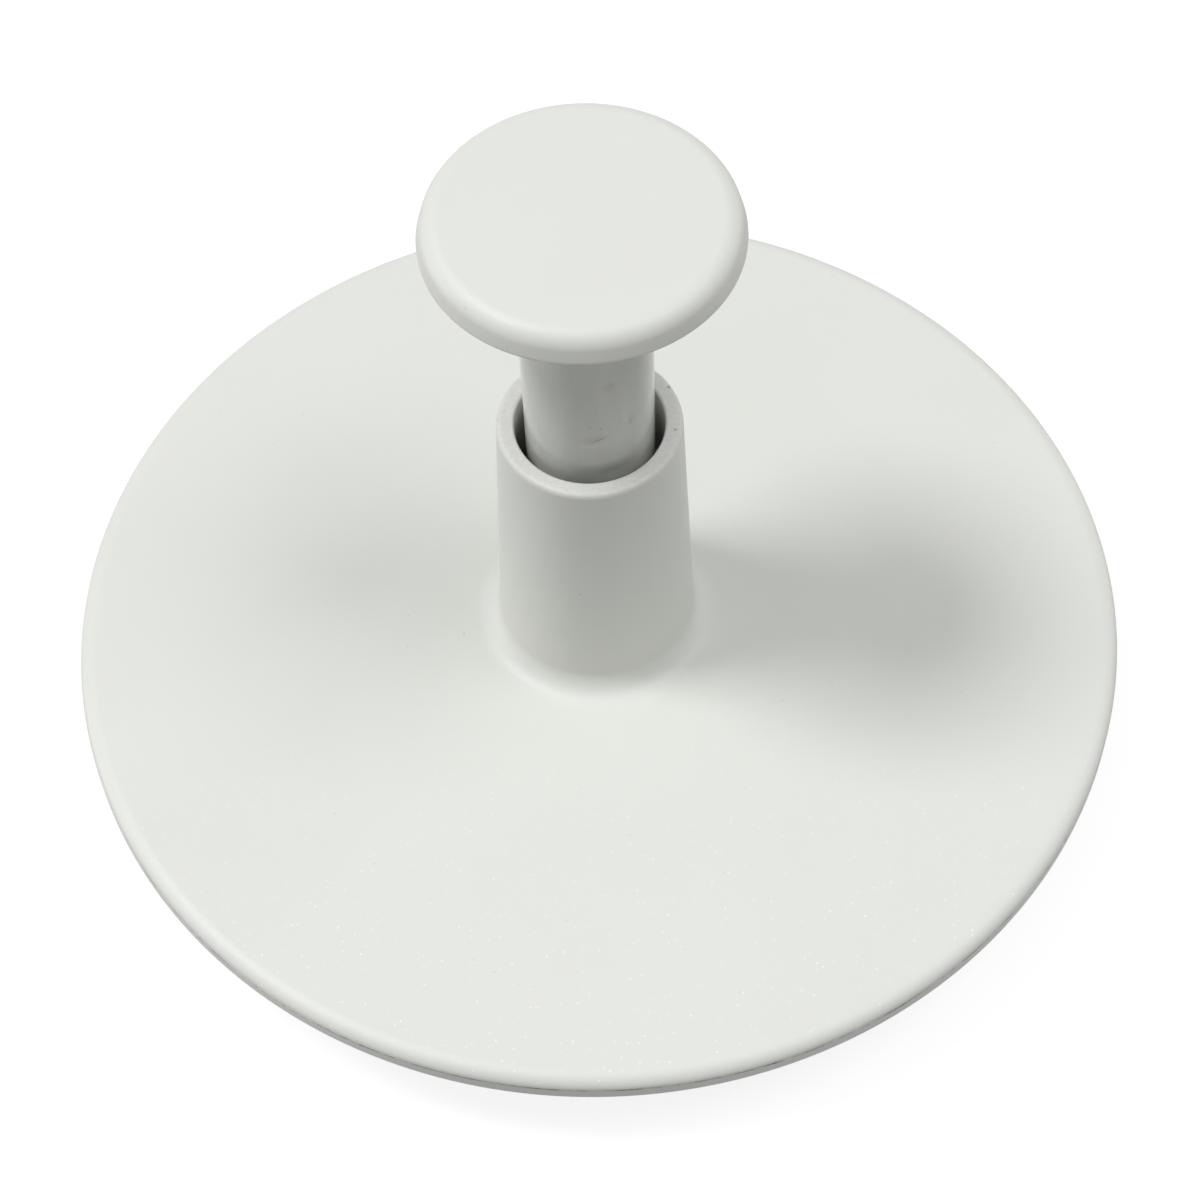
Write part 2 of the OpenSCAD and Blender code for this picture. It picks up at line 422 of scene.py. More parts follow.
def addVein(span, turn, s):
    # a ball is laid on its side, drawn out to the vein's length and flattened
    start, end = span
    around, along = s["veinSteps"]
    bpy.ops.object.select_all(action="DESELECT")
    bpy.ops.mesh.primitive_uv_sphere_add(segments=around, ring_count=along, radius=1)
    vein = startPiece("vein")
    bpy.ops.transform.rotate(value=math.pi / 2, orient_axis="Y", center_override=(0, 0, 0))
    size = ((end - start) / 2, s["veinWidth"] / 2, s["relief"] + s["reliefRoot"])
    place = ((start + end) / 2, 0, s["under"] + s["reliefRoot"])
    bpy.ops.transform.resize(value=[p * mm for p in size], center_override=(0, 0, 0))
    bpy.ops.transform.translate(value=[p * mm for p in place])
    bpy.ops.transform.rotate(value=math.radians(turn), orient_axis="Z", center_override=(0, 0, 0))
    bpy.ops.object.mode_set(mode="OBJECT")
    return vein


def addSeed(number, s):
    # seeds lie on the spiral that fills a flower's heart evenly
    angle = number * math.pi * (3 - math.sqrt(5))
    reach = s["seedPitch"] / 2 * math.sqrt(number)
    lift = s["under"] - s["relief"] + s["seedDome"]
    place = (reach * math.cos(angle), reach * math.sin(angle), lift)
    around, rings = s["seedSteps"]
    bpy.ops.object.select_all(action="DESELECT")
    bpy.ops.mesh.primitive_uv_sphere_add(
        segments=around, ring_count=rings, radius=s["seedDome"] * mm,
        location=[p * mm for p in place])
    bpy.ops.object.transform_apply(location=True, rotation=True, scale=True)
    return bpy.context.object


def makeRelief(s, petals):
    veins = [addVein(s["midrib"], 0, s)]
    veins += [addVein(s["sideVein"], side * s["veinFan"], s) for side in (-1, 1)]
    onlySelect(*veins)
    bpy.ops.object.join()
    relief = startPiece("relief")
    copyRound(petals)
    bpy.ops.object.mode_set(mode="OBJECT")
    bpy.ops.object.select_all(action="DESELECT")
    along, around = s["heartSteps"]
    bpy.ops.mesh.primitive_torus_add(
        major_radius=s["heartRadius"] * mm, minor_radius=s["veinWidth"] / 2 * mm,
        major_segments=along, minor_segments=around)
    heart = startPiece("heartRing")
    rise = 2 * (s["relief"] + s["reliefRoot"]) / s["veinWidth"]
    bpy.ops.transform.resize(value=(1, 1, rise), center_override=(0, 0, 0))
    bpy.ops.transform.translate(value=(0, 0, (s["under"] + s["reliefRoot"]) * mm))
    bpy.ops.object.mode_set(mode="OBJECT")
    seeds = [addSeed(number, s) for number in range(1, s["seeds"] + 1)]
    onlySelect(relief, heart, *seeds)
    bpy.ops.object.join()
    return relief


def pickLevel(piece, height, kind="EDGE"):
    # selects every edge or every face that lies at one height
    bpy.ops.mesh.select_mode(type=kind)
    bpy.ops.mesh.select_all(action="DESELECT")
    shape = bmesh.from_edit_mesh(piece.data)
    for part in shape.edges if kind == "EDGE" else shape.faces:
        part.select_set(all(abs(v.co.z - height * mm) < pickSlack * mm for v in part.verts))
    bmesh.update_edit_mesh(piece.data)


def dropSlivers(piece):
    # keeps what hangs together with the widest face, and clears flat slivers that a join leaves
    onlySelect(piece)
    bpy.ops.object.mode_set(mode="EDIT")
    bpy.ops.mesh.select_mode(type="VERT")
    bpy.ops.mesh.select_all(action="DESELECT")
    shape = bmesh.from_edit_mesh(piece.data)
    max(shape.faces, key=lambda f: f.calc_area()).select_set(True)
    bmesh.update_edit_mesh(piece.data)
    bpy.ops.mesh.select_linked()
    bpy.ops.mesh.select_all(action="INVERT")
    bpy.ops.mesh.delete(type="VERT")
    bpy.ops.object.mode_set(mode="OBJECT")


def fanFlat(plate, height, hub):
    # a wide flat is fanned, so that veins and boss only cut small faces
    pickLevel(plate, height, "FACE")
    bpy.ops.mesh.poke()
    bpy.ops.mesh.select_mode(type="VERT")
    bpy.ops.mesh.select_all(action="DESELECT")
    shape = bmesh.from_edit_mesh(plate.data)
    middle = Vector((0, 0, height * mm))
    min(shape.verts, key=lambda v: (v.co - middle).length).select_set(True)
    bmesh.update_edit_mesh(plate.data)
    bpy.ops.transform.translate(value=[p * mm for p in hub])


def makeBoss(s):
    rings = [(s["bossRadius"], s["socketFloor"]), (s["bossRadius"], s["bossTop"])]
    addRing(rings, s["bossSteps"])
    boss = startPiece("boss")
    turnRings(rings)
    for radius, height in rings:
        pickRing(boss, radius, height)
        bpy.ops.mesh.edge_face_add()
    roundRing(boss, s["bossRadius"], s["bossTop"], *s["softEdge"])
    facesOut()
    bpy.ops.object.mode_set(mode="OBJECT")
    return boss


def makePlate(s, petal):
    edgeSize, edgeSteps = s["softEdge"]
    centre = (petal["middle"], -petal["flankOffset"])
    rings = [(petal["flankRadius"], s["under"]), (petal["flankRadius"], s["top"])]
    addRing(rings, petal["flankSteps"], centre)
    plate = startPiece("embossingPlate")
    turnRings(rings, centre)
    cutFlank(petal)
    repeatPetals(plate, petal)
    for height in (s["under"], s["top"]):
        pickLevel(plate, height)
        bpy.ops.mesh.edge_face_add()
    facesOut()
    for height in (s["under"], s["top"]):
        pickLevel(plate, height)
        bpy.ops.mesh.bevel(offset=edgeSize * mm, segments=edgeSteps, profile=0.5, affect="EDGES")
    for height in (s["under"], s["top"]):
        fanFlat(plate, height, s["fanHub"])
    bpy.ops.object.mode_set(mode="OBJECT")
    boolean(plate, makeBoss(s), "UNION")
    boolean(plate, makeRelief(s, petal["petals"]), "UNION")
    depth = 2 * (s["bossTop"] - s["socketFloor"])  # the socket's cutter stands well out of the boss
    bpy.ops.object.select_all(action="DESELECT")
    bpy.ops.mesh.primitive_cylinder_add(
        vertices=s["bossSteps"], radius=s["socketRadius"] * mm, depth=depth * mm,
        location=(0, 0, (s["socketFloor"] + depth / 2) * mm))
    boolean(plate, bpy.context.object, "DIFFERENCE")
    dropSlivers(plate)
    finishSkin(plate)
    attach(plate, "plunger")
    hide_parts("embossing_plate")
    return plate


embossingPlate = makePlate(plateSet, petalSet)
print("embossing plate modelled:", len(embossingPlate.data.polygons), "faces")


# return spring: round wire, wound open in the middle and close at its two end turns
springSet = {
    "coilRadius": 5.3,
    "wireRadius": 0.4,
    "wireSides": 16,
    "stepsPerTurn": 64,
    "low": 16.3,
    "high": 33.5,
    "turns": 6.5,
    "endPitch": 1.25,
    "weldGap": 0.005,
    "seat": 15.8,
    "keep": 0.337,  # 18.1 mm at rest closes to 6.1 mm
}


def windTurns(s, turns, pitch, startTurn, startHeight):
    # a ring of wire section is swept up the helix by a screw
    angle = 2 * math.pi * startTurn
    place = (s["coilRadius"] * mm, 0, 0)
    bpy.ops.object.select_all(action="DESELECT")
    bpy.ops.mesh.primitive_circle_add(vertices=s["wireSides"], radius=s["wireRadius"] * mm,
                                      location=place, rotation=(math.pi / 2, 0, 0))
    wire = bpy.context.object
    bpy.ops.object.transform_apply(location=True, rotation=True, scale=True)
    sweep = wire.modifiers.new("wind", "SCREW")
    sweep.axis = "Z"
    sweep.angle = 2 * math.pi * turns
    sweep.screw_offset = pitch * turns * mm
    sweep.steps = sweep.render_steps = round(s["stepsPerTurn"] * turns)
    bpy.ops.object.modifier_apply(modifier=sweep.name)
    bpy.ops.object.mode_set(mode="EDIT")
    bpy.ops.mesh.select_all(action="SELECT")
    bpy.ops.transform.translate(value=(0, 0, startHeight * mm))
    bpy.ops.transform.rotate(value=-angle, orient_axis="Z", center_override=(0, 0, 0))
    bpy.ops.object.mode_set(mode="OBJECT")
    return wire


def makeSpring(s):
    openTurns = s["turns"] - 2
    openPitch = (s["high"] - s["low"] - 2 * s["endPitch"]) / openTurns
    coils = [windTurns(s, 1, s["endPitch"], 0, s["low"]),
             windTurns(s, openTurns, openPitch, 1, s["low"] + s["endPitch"]),
             windTurns(s, 1, s["endPitch"], 1 + openTurns, s["high"] - s["endPitch"])]
    onlySelect(*coils)
    bpy.ops.object.join()
    spring = startPiece("returnSpring")
    bpy.ops.mesh.remove_doubles(threshold=s["weldGap"] * mm)
    bpy.ops.mesh.select_all(action="DESELECT")
    bpy.ops.mesh.select_non_manifold()
    bpy.ops.mesh.fill()
    facesOut()
    bpy.ops.object.mode_set(mode="OBJECT")
    finishSkin(spring)
    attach(spring, "cutter")
    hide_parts("return_spring")
    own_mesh(spring)
    return spring


returnSpring = makeSpring(springSet)
print("spring wound:", len(returnSpring.data.polygons), "faces")


# materials
def hexColour(text):
    # sRGB hex to the linear values that the shaders take
    parts = [int(text[i:i + 2], 16) / 255 for i in (1, 3, 5)]
    return [p / 12.92 if p <= 0.04045 else ((p + 0.055) / 1.055) ** 2.4 for p in parts] + [1.0]


def addNode(tree, kind, inputs=None, **settings):
    node = tree.nodes.new(kind)
    for name, value in settings.items():
        setattr(node, name, value)
    for name, value in (inputs or {}).items():
        if isinstance(value, bpy.types.NodeSocket):
            tree.links.new(value, node.inputs[name])
        else:
            node.inputs[name].default_value = value
    return node


def newMaterial(name):
    material = bpy.data.materials.new(name)
    material.use_nodes = True
    material.node_tree.nodes.clear()
    return material, material.node_tree


def perGrain(size):
    return 1 / (size * mm)  # texture scale for a grain of this many millimetres


# what every face of high impact styrene shares: a satin plastic with a rare dark speck in it
styrene = {
    "ior": 1.59,
    "roughSpread": 0.06,
    "speckSize": 0.6,  # mm, the noise whose rare peaks are specks
    "speckPeak": (0.89, 0.94),  # from where it starts to where it is full
}

# the styrene from a spark eroded mould: off-white and satin, with a fine eggshell grain, and glints
# painted into its colour as highlights
bodyFinish = {
    "light": "#E7E8E3",
    "shade": "#E3E4DF",
    "cloud": 14.0,  # mm, faint flow clouds in the colour
    "roughness": 0.5,
    "grain": 0.3,  # mm, a little coarser than the real texture, so that it shows
    "grainHeight": 0.011,  # mm
    # colour of the painted glints, highlights painted into the base colour
    "glint": "#FDFDFC",
    "glintSpacing": 0.52,  # mm between the points that may glint
    "glintSize": 0.14,  # mm
    "glintCore": 0.3,  # the share of a glint that is full
    "glintShare": 0.6,
    "glintFall": 3.0,  # the larger, the fewer of them are bright
    "glintFrom": -6.0,  # mm, the painted glints show more and more from here to the front of the disc
    "glintFull": -36.0,
    "glintTop": 12.8,  # mm, above it, on the tube, no glints are painted
    "speckDepth": 0.25,
    "dirt": "#77746C",
}

# the styrene from a polished mould: the knob stays satin, and the stem is rubbed smooth in the tube
knobFinish = {
    "light": "#E7E8E3",
    "shade": "#E4E5E0",
    "cloud": 9.0,
    "roughness": 0.5,
    "smoothStem": 0.43,  # how much less rough the stem is
    "stemTop": 65.0,  # mm
    "stemFade": 1.0,  # mm
    "grain": 0.16,
    "grainHeight": 0.0015,
    "speckDepth": 0.2,
    "dirt": "#8C766F",
}

# plain faces of the same plastic, out of sight while the cutter stands
plateFinish = {
    "light": "#E7E8E3",
    "shade": "#E2E3DE",
    "cloud": 9.0,
    "roughness": 0.44,
    "grain": 0.2,
    "grainHeight": 0.003,
    "speckDepth": 0.2,
    "dirt": "#8C8A82",
}

# painted highlight: the top of the tube's rim is painted paler in patches
rimPaintedHighlight = {
    "colour": "#FBFBF8",
    "height": 41.35,
    "fade": 0.2,  # mm
    "patch": 0.35,  # mm
    "patchRange": (0.3, 0.7),
    "depth": (0.21, 0.63),
}


def addRimPaintedHighlight(tree, place, s):
    # painted highlight: paler patches on the top of the rim
    axes = addNode(tree, "ShaderNodeSeparateXYZ", {"Vector": place})
    top = addNode(tree, "ShaderNodeMapRange", {
        "Value": axes.outputs["Z"],
        "From Min": s["height"] * mm, "From Max": (s["height"] + s["fade"]) * mm})
    patch = addNode(tree, "ShaderNodeTexNoise", {
        "Vector": place, "Scale": perGrain(s["patch"]), "Detail": 2.0})
    depth = addNode(tree, "ShaderNodeMapRange", {
        "Value": patch.outputs["Fac"],
        "From Min": s["patchRange"][0], "From Max": s["patchRange"][1],
        "To Min": s["depth"][0], "To Max": s["depth"][1]})
    return addNode(tree, "ShaderNodeMath", {
        0: top.outputs["Result"], 1: depth.outputs["Result"]}, operation="MULTIPLY").outputs[0]


# specks of dirt on the tube's rim: turn from the front in degrees, distance from the axis, size, and
# depth of colour
rimSpecks = {
    "colour": "#77746C",
    "core": 0.4,  # the share of a speck that has its full depth
    "marks": [
        (116, 8.0, 0.5, 0.6),
        (80, 7.6, 0.42, 0.45),
        (70, 7.1, 0.25, 0.3),
    ],
}


def addRimSpecks(tree, place, s):
    total = 0.0
    for turn, reach, size, depth in s["marks"]:
        turn = math.radians(turn)
        spot = (reach * mm * math.sin(turn), -reach * mm * math.cos(turn), bodySet["rimTop"] * mm)
        away = addNode(tree, "ShaderNodeVectorMath", {0: place, 1: spot}, operation="DISTANCE")
        speck = addNode(tree, "ShaderNodeMapRange", {
            "Value": away.outputs["Value"],
            "From Min": s["core"] * size / 2 * mm, "From Max": size / 2 * mm,
            "To Min": depth, "To Max": 0.0})
        total = addNode(tree, "ShaderNodeMath", {
            0: total, 1: speck.outputs["Result"]}, operation="MAXIMUM").outputs[0]
    return total


# dust that stays in the parting line round the disc
partingDirt = {
    "colour": "#6A675F",
    "width": 0.12,
    "reach": 49.8,  # only out at the disc's edge
    "streak": 2.6,  # mm, length of the dirty stretches
    "streakRange": (0.42, 0.7),
    "depth": 1.0,
}


def addPartingDirt(tree, place, s):
    axes = addNode(tree, "ShaderNodeSeparateXYZ", {"Vector": place})
    level = addNode(tree, "ShaderNodeMath", {
        0: axes.outputs["Z"], 1: bodySet["partingLine"] * mm, 2: s["width"] * mm},
        operation="COMPARE")
    flat = addNode(tree, "ShaderNodeVectorMath", {0: place, 1: (1, 1, 0)}, operation="MULTIPLY")
    reach = addNode(tree, "ShaderNodeVectorMath", {0: flat.outputs["Vector"]}, operation="LENGTH")
    outer = addNode(tree, "ShaderNodeMath", {
        0: reach.outputs["Value"], 1: s["reach"] * mm}, operation="GREATER_THAN")
    streak = addNode(tree, "ShaderNodeTexNoise", {
        "Vector": flat.outputs["Vector"], "Scale": perGrain(s["streak"]),
        "Detail": 4.0, "Roughness": 0.7})
    depth = addNode(tree, "ShaderNodeMapRange", {
        "Value": streak.outputs["Fac"],
        "From Min": s["streakRange"][0], "From Max": s["streakRange"][1], "To Max": s["depth"]})
    line = addNode(tree, "ShaderNodeMath", {
        0: level.outputs[0], 1: outer.outputs[0]}, operation="MULTIPLY")
    return addNode(tree, "ShaderNodeMath", {
        0: line.outputs[0], 1: depth.outputs["Result"]}, operation="MULTIPLY").outputs[0]


# rub marks on the stem: mm round from its front line, height, length, width, tilt in degrees, depth
# of colour, and the share of the mark that has this depth before it fades
stemScuffs = {
    "colour": "#8C6E66",
    "marks": [
        (0.65, 46.25, 2.2, 0.24, 23, 0.5, 0.4),
        (0.15, 46.3, 2.9, 1.6, 12, 0.17, 0.0),
        (3.74, 47.2, 0.7, 0.24, 50, 0.35, 0.4),
        (3.78, 47.6, 1.8, 0.8, 80, 0.14, 0.0),
        (1.75, 53.1, 1.9, 1.7, 0, 0.14, 0.0),
        (2.06, 53.4, 0.28, 0.24, 0, 0.35, 0.4),
        (0.92, 47.8, 0.26, 0.22, 0, 0.5, 0.4),
        (0.0, 48.2, 0.3, 0.2, 60, 0.3, 0.4),
    ],
}

# painted shade: an arc on the stem's front, just above the tube's rim, painted darker
stemShadeAboveRim = {
    "colour": "#5F605A",
    "marks": [(1.6, 41.9, 7.6, 2.3, 0, 0.42, 0.0)],
}


def addStemMarks(tree, place, s):
    # each mark is an ellipse, laid out on the stem's unrolled skin
    axes = addNode(tree, "ShaderNodeSeparateXYZ", {"Vector": place})
    back = addNode(tree, "ShaderNodeMath", {0: axes.outputs["Y"], 1: -1.0}, operation="MULTIPLY")
    angle = addNode(tree, "ShaderNodeMath", {
        0: axes.outputs["X"], 1: back.outputs[0]}, operation="ARCTAN2")
    across = addNode(tree, "ShaderNodeMath", {
        0: angle.outputs[0], 1: knobSet["stemRadius"] * mm}, operation="MULTIPLY")
    skin = addNode(tree, "ShaderNodeCombineXYZ", {"X": across.outputs[0], "Y": axes.outputs["Z"]})
    total = 0.0
    for around, height, length, width, tilt, depth, core in s["marks"]:
        local = addNode(tree, "ShaderNodeMapping", {
            "Vector": skin.outputs["Vector"], "Location": (around * mm, height * mm, 0),
            "Rotation": (0, 0, math.radians(tilt)), "Scale": (length / 2 * mm, width / 2 * mm, 1)},
            vector_type="TEXTURE")
        away = addNode(tree, "ShaderNodeVectorMath", {
            0: local.outputs["Vector"]}, operation="LENGTH")
        mark = addNode(tree, "ShaderNodeMapRange", {
            "Value": away.outputs["Value"], "From Min": core, "From Max": 1.0,
            "To Min": depth, "To Max": 0.0})
        total = addNode(tree, "ShaderNodeMath", {
            0: total, 1: mark.outputs["Result"]}, operation="MAXIMUM").outputs[0]
    return total


# painted shade: the stem below the knob is painted darker and faintly green, in streaks along it
stemShadeUnderKnob = {
    "colour": "#8E9289",
    "top": 65.0,
    "fade": 0.4,
    "streak": 1.6,  # mm across
    "run": 9.0,  # mm along the stem
    "streakRange": (0.3, 0.7),
    "depth": (0.1, 0.2),
}


def addStemShadeUnderKnob(tree, place, s):
    # painted shade: darker streaks on the stem below the knob
    axes = addNode(tree, "ShaderNodeSeparateXYZ", {"Vector": place})
    below = addNode(tree, "ShaderNodeMapRange", {
        "Value": axes.outputs["Z"],
        "From Min": (s["top"] - s["fade"]) * mm, "From Max": (s["top"] + s["fade"]) * mm,
        "To Min": 1.0, "To Max": 0.0})
    drawn = addNode(tree, "ShaderNodeVectorMath", {
        0: place, 1: (1, 1, s["streak"] / s["run"])}, operation="MULTIPLY")
    streaks = addNode(tree, "ShaderNodeTexNoise", {
        "Vector": drawn.outputs["Vector"], "Scale": perGrain(s["streak"]), "Detail": 2.0})
    depth = addNode(tree, "ShaderNodeMapRange", {
        "Value": streaks.outputs["Fac"],
        "From Min": s["streakRange"][0], "From Max": s["streakRange"][1],
        "To Min": s["depth"][0], "To Max": s["depth"][1]})
    return addNode(tree, "ShaderNodeMath", {
        0: below.outputs["Result"], 1: depth.outputs["Result"]}, operation="MULTIPLY").outputs[0]


def addPaintedGlints(tree, place, s):
    # painted highlights: single points of the texture painted white as glints, most of them faintly
    reach = s["glintSize"] / s["glintSpacing"]
    points = addNode(tree, "ShaderNodeTexVoronoi", {
        "Vector": place, "Scale": perGrain(s["glintSpacing"])})
    near = addNode(tree, "ShaderNodeMapRange", {
        "Value": points.outputs["Distance"], "From Min": s["glintCore"] * reach, "From Max": reach,
        "To Min": 1.0, "To Max": 0.0})
    chance = addNode(tree, "ShaderNodeSeparateColor", {"Color": points.outputs["Color"]})
    chosen = addNode(tree, "ShaderNodeMapRange", {
        "Value": chance.outputs["Red"], "From Min": 1 - s["glintShare"]})
    power = addNode(tree, "ShaderNodeMath", {
        0: chosen.outputs["Result"], 1: s["glintFall"]}, operation="POWER")
    axes = addNode(tree, "ShaderNodeSeparateXYZ", {"Vector": place})
    front = addNode(tree, "ShaderNodeMapRange", {
        "Value": axes.outputs["Y"],
        "From Min": s["glintFrom"] * mm, "From Max": s["glintFull"] * mm})
    onDisc = addNode(tree, "ShaderNodeMath", {
        0: axes.outputs["Z"], 1: s["glintTop"] * mm}, operation="LESS_THAN")
    total = near.outputs["Result"]
    for share in (power.outputs[0], front.outputs["Result"], onDisc.outputs[0]):
        total = addNode(tree, "ShaderNodeMath", {
            0: total, 1: share}, operation="MULTIPLY").outputs[0]
    return total


def addSpecks(tree, place, s):
    speck = addNode(tree, "ShaderNodeTexNoise", {
        "Vector": place, "Scale": perGrain(styrene["speckSize"]), "Detail": 0.0})
    low, high = styrene["speckPeak"]
    return addNode(tree, "ShaderNodeMapRange", {
        "Value": speck.outputs["Fac"],
        "From Min": low, "From Max": high, "To Max": s["speckDepth"]}).outputs["Result"]


def addRoughness(tree, place, grain, s):
    rough = addNode(tree, "ShaderNodeMapRange", {
        "Value": grain, "To Min": s["roughness"] - styrene["roughSpread"],
        "To Max": s["roughness"] + styrene["roughSpread"]}).outputs["Result"]
    if "smoothStem" in s:
        axes = addNode(tree, "ShaderNodeSeparateXYZ", {"Vector": place})
        smooth = addNode(tree, "ShaderNodeMapRange", {
            "Value": axes.outputs["Z"],
            "From Min": (s["stemTop"] - s["stemFade"]) * mm, "From Max": s["stemTop"] * mm,
            "To Min": s["smoothStem"], "To Max": 0.0})
        rough = addNode(tree, "ShaderNodeMath", {
            0: rough, 1: smooth.outputs["Result"]}, operation="SUBTRACT").outputs[0]
    return rough


def makeStyrene(name, s, marks=()):
    # each layer of the colour is what covers, and the colour that it lays on
    material, tree = newMaterial(name)
    place = addNode(tree, "ShaderNodeTexCoord").outputs["Object"]
    cloud = addNode(tree, "ShaderNodeTexNoise", {
        "Vector": place, "Scale": perGrain(s["cloud"]), "Detail": 3.0})
    grain = addNode(tree, "ShaderNodeTexNoise", {
        "Vector": place, "Scale": perGrain(s["grain"]), "Detail": 2.0, "Roughness": 0.6})
    layers = [(cloud.outputs["Fac"], s["light"])]
    # painted highlights: the glints are painted into the colour
    if "glint" in s:
        layers.append((addPaintedGlints(tree, place, s), s["glint"]))
    layers.append((addSpecks(tree, place, s), s["dirt"]))
    layers += [(addMark(tree, place, mark), mark["colour"]) for addMark, mark in marks]
    colour = hexColour(s["shade"])
    for cover, laidOn in layers:
        colour = addNode(tree, "ShaderNodeMix", {
            "Factor": cover, "A": colour, "B": hexColour(laidOn)},
            data_type="RGBA").outputs["Result"]
    bump = addNode(tree, "ShaderNodeBump", {
        "Height": grain.outputs["Fac"], "Strength": 1.0, "Distance": s["grainHeight"] * mm})
    shader = addNode(tree, "ShaderNodeBsdfPrincipled", {
        "Base Color": colour, "Roughness": addRoughness(tree, place, grain.outputs["Fac"], s),
        "Normal": bump.outputs["Normal"], "IOR": styrene["ior"]})
    addNode(tree, "ShaderNodeOutputMaterial", {"Surface": shader.outputs["BSDF"]})
    return material


# stainless spring wire, drawn through a die: bright, with fine lines along the wire
wireFinish = {
    "light": "#C3C6C8",
    "shade": "#8F9396",
    "roughness": 0.28,
    "roughSpread": 0.08,
    "line": 0.05,  # mm
    "lineHeight": 0.001,  # mm
}


def makeDrawnSteel(name, s):
    material, tree = newMaterial(name)
    place = addNode(tree, "ShaderNodeTexCoord").outputs["Object"]
    axes = addNode(tree, "ShaderNodeSeparateXYZ", {"Vector": place})
    flat = addNode(tree, "ShaderNodeVectorMath", {0: place, 1: (1, 1, 0)}, operation="MULTIPLY")
    reach = addNode(tree, "ShaderNodeVectorMath", {0: flat.outputs["Vector"]}, operation="LENGTH")
    section = addNode(tree, "ShaderNodeCombineXYZ", {
        "X": reach.outputs["Value"], "Y": axes.outputs["Z"]})
    lines = addNode(tree, "ShaderNodeTexNoise", {
        "Vector": section.outputs["Vector"], "Scale": perGrain(s["line"]), "Detail": 2.0})
    colour = addNode(tree, "ShaderNodeMix", {
        "Factor": lines.outputs["Fac"], "A": hexColour(s["shade"]), "B": hexColour(s["light"])},
        data_type="RGBA")
    rough = addNode(tree, "ShaderNodeMapRange", {
        "Value": lines.outputs["Fac"],
        "To Min": s["roughness"] - s["roughSpread"], "To Max": s["roughness"] + s["roughSpread"]})
    bump = addNode(tree, "ShaderNodeBump", {
        "Height": lines.outputs["Fac"], "Strength": 1.0, "Distance": s["lineHeight"] * mm})
    shader = addNode(tree, "ShaderNodeBsdfPrincipled", {
        "Base Color": colour.outputs["Result"], "Roughness": rough.outputs["Result"],
        "Normal": bump.outputs["Normal"], "Metallic": 1.0})
    addNode(tree, "ShaderNodeOutputMaterial", {"Surface": shader.outputs["BSDF"]})
    return material


def dress(piece, material):
    piece.data.materials.clear()
    piece.data.materials.append(material)


# the rim's paler top is a painted highlight; the rim's specks and the dust in the parting line are
# dirt
bodyMarks = [(addRimPaintedHighlight, rimPaintedHighlight), (addRimSpecks, rimSpecks), (addPartingDirt, partingDirt)]
# the stem's painted shade, below the knob and above the rim, goes on with its real rub marks
knobMarks = [(addStemShadeUnderKnob, stemShadeUnderKnob), (addStemMarks, stemShadeAboveRim), (addStemMarks, stemScuffs)]
dress(cutterBody, makeStyrene("eggshellMouldedStyrene", bodyFinish, bodyMarks))
dress(plungerKnob, makeStyrene("satinMouldedStyrene", knobFinish, knobMarks))
plainStyrene = makeStyrene("plainMouldedStyrene", plateFinish)
dress(embossingPlate, plainStyrene)
dress(frame["nodes"]["plunger_spindle"], plainStyrene)
dress(returnSpring, makeDrawnSteel("drawnStainlessWire", wireFinish))
print("materials assigned")


# studio: pale floor, a key soft box high on the left, weaker ones on the right, in front and above,
# and low edge lights
studioSet = {
    "floorSize": 8.0,
    "floorColour": "#8A8A8A",  # what the floor throws back on to the object
    "floorRoughness": 0.8,
    "floorGlow": 0.84,  # what it adds where it is seen
    "distance": 3.0,
    "aimHeight": 0.02,  # the lamps look at this height
    "worldShare": 0.225,
    "worldColour": "#FCFFFD",  # the air's light is faintly green in the shade
}

# turn from the front, height in degrees, width in degrees, share of the light on a level surface
softboxes = {
    "keySoftbox": (267, 62, 16, 0.368),
    "sideSoftbox": (78, 66, 26, 0.218),
    "frontSoftbox": (0, 78, 40, 0.08),
    "topSoftbox": (0, 90, 60, 0.085),
    "rightStrip": (125, 8, 12, 0.013),
    "leftStrip": (255, 8, 12, 0.024),
}


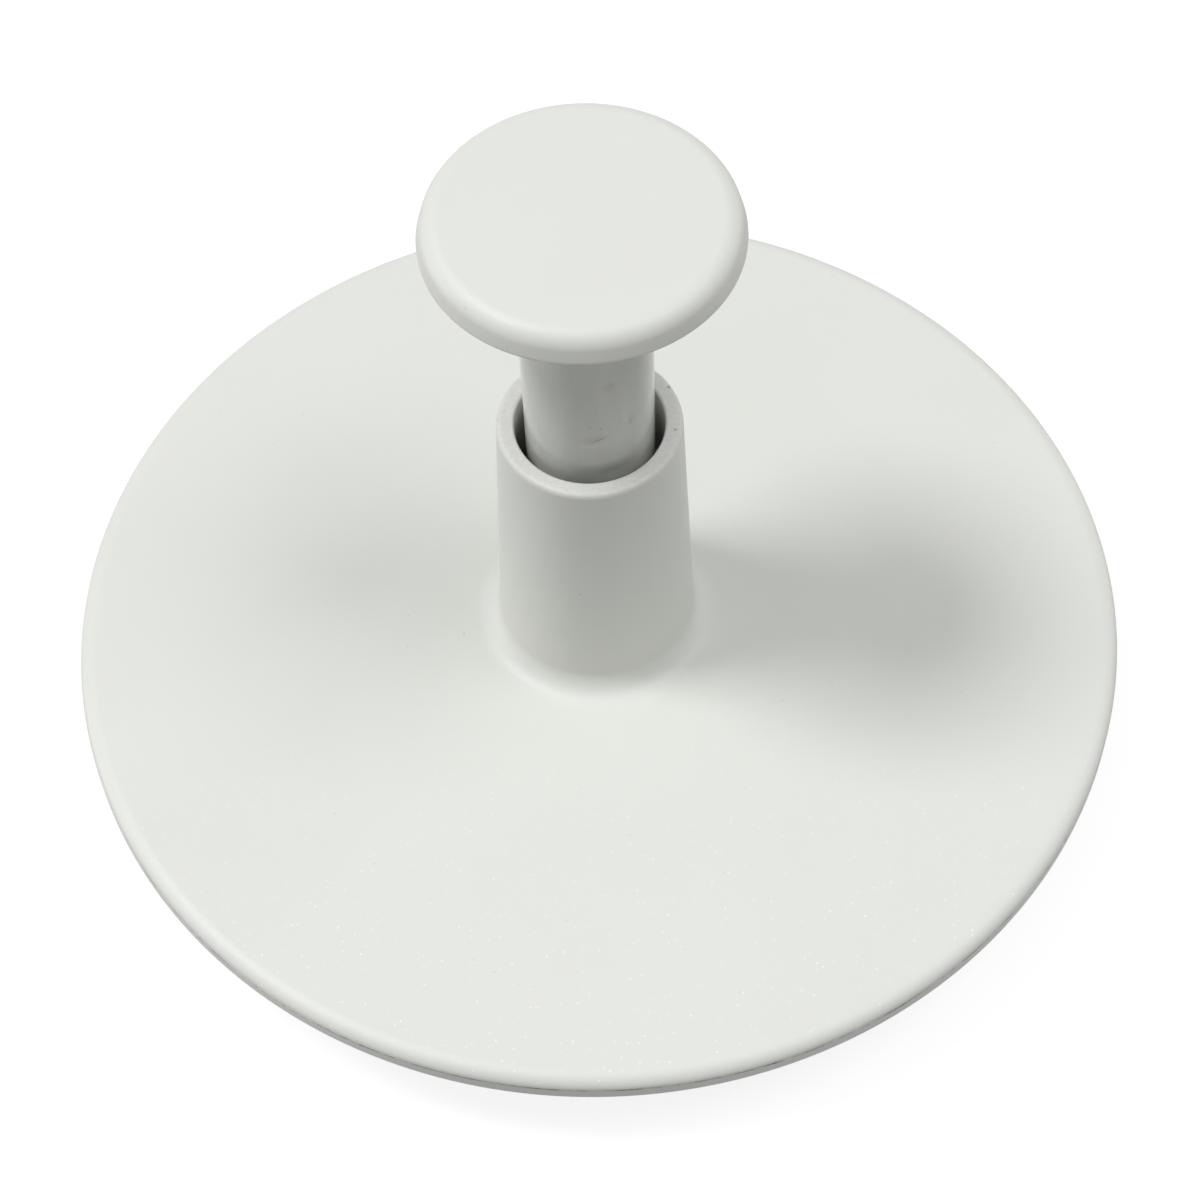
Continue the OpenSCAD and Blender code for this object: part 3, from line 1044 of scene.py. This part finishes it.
def addSoftbox(name, s, turn, height, width, share):
    # shares of 1 in all show a colour as it is written
    distance, aim = s["distance"], Vector((0, 0, s["aimHeight"]))
    turn, height, half = (math.radians(a) for a in (turn, height, width / 2))
    level = math.cos(height)
    direction = Vector((math.sin(turn) * level, -math.cos(turn) * level, math.sin(height)))
    bpy.ops.object.light_add(type="AREA", location=direction * distance + aim)
    lamp = bpy.context.object
    lamp.name = name
    lamp.data.shape = "DISK"
    lamp.data.size = 2 * distance * math.tan(half)
    lamp.data.energy = (math.pi * distance / math.cos(half)) ** 2 * share / direction.z
    lamp.rotation_mode = "QUATERNION"
    lamp.rotation_quaternion = direction.to_track_quat("Z", "Y")


for name, box in softboxes.items():
    addSoftbox(name, studioSet, *box)


def addFloor(s):
    bpy.ops.object.select_all(action="DESELECT")
    bpy.ops.mesh.primitive_plane_add(size=s["floorSize"])
    floor = bpy.context.object
    floor.name = "paleFloor"
    material, tree = newMaterial("whitePaperFloor")
    rays = addNode(tree, "ShaderNodeLightPath")
    seen = rays.outputs["Is Camera Ray"]
    for kind in ("Is Glossy Ray", "Is Transmission Ray"):
        seen = addNode(tree, "ShaderNodeMath", {
            0: seen, 1: rays.outputs[kind]}, operation="MAXIMUM").outputs[0]
    glow = addNode(tree, "ShaderNodeMath", {0: seen, 1: s["floorGlow"]}, operation="MULTIPLY")
    shader = addNode(tree, "ShaderNodeBsdfPrincipled", {
        "Base Color": hexColour(s["floorColour"]), "Roughness": s["floorRoughness"],
        "Emission Color": (1, 1, 1, 1), "Emission Strength": glow.outputs[0]})
    addNode(tree, "ShaderNodeOutputMaterial", {"Surface": shader.outputs["BSDF"]})
    dress(floor, material)


def setWorld(s):
    world = bpy.data.worlds.new("studioAir")
    bpy.context.scene.world = world
    world.use_nodes = True
    tree = world.node_tree
    tree.nodes.clear()
    rays = addNode(tree, "ShaderNodeLightPath")
    strength = addNode(tree, "ShaderNodeMapRange", {
        "Value": rays.outputs["Is Camera Ray"], "To Min": s["worldShare"], "To Max": 1.0})
    tint = addNode(tree, "ShaderNodeMix", {
        "Factor": rays.outputs["Is Camera Ray"],
        "A": hexColour(s["worldColour"]), "B": (1, 1, 1, 1)}, data_type="RGBA")
    air = addNode(tree, "ShaderNodeBackground", {
        "Color": tint.outputs["Result"], "Strength": strength.outputs["Result"]})
    addNode(tree, "ShaderNodeOutputWorld", {"Surface": air.outputs["Background"]})


addFloor(studioSet)
setWorld(studioSet)
print("studio lit")
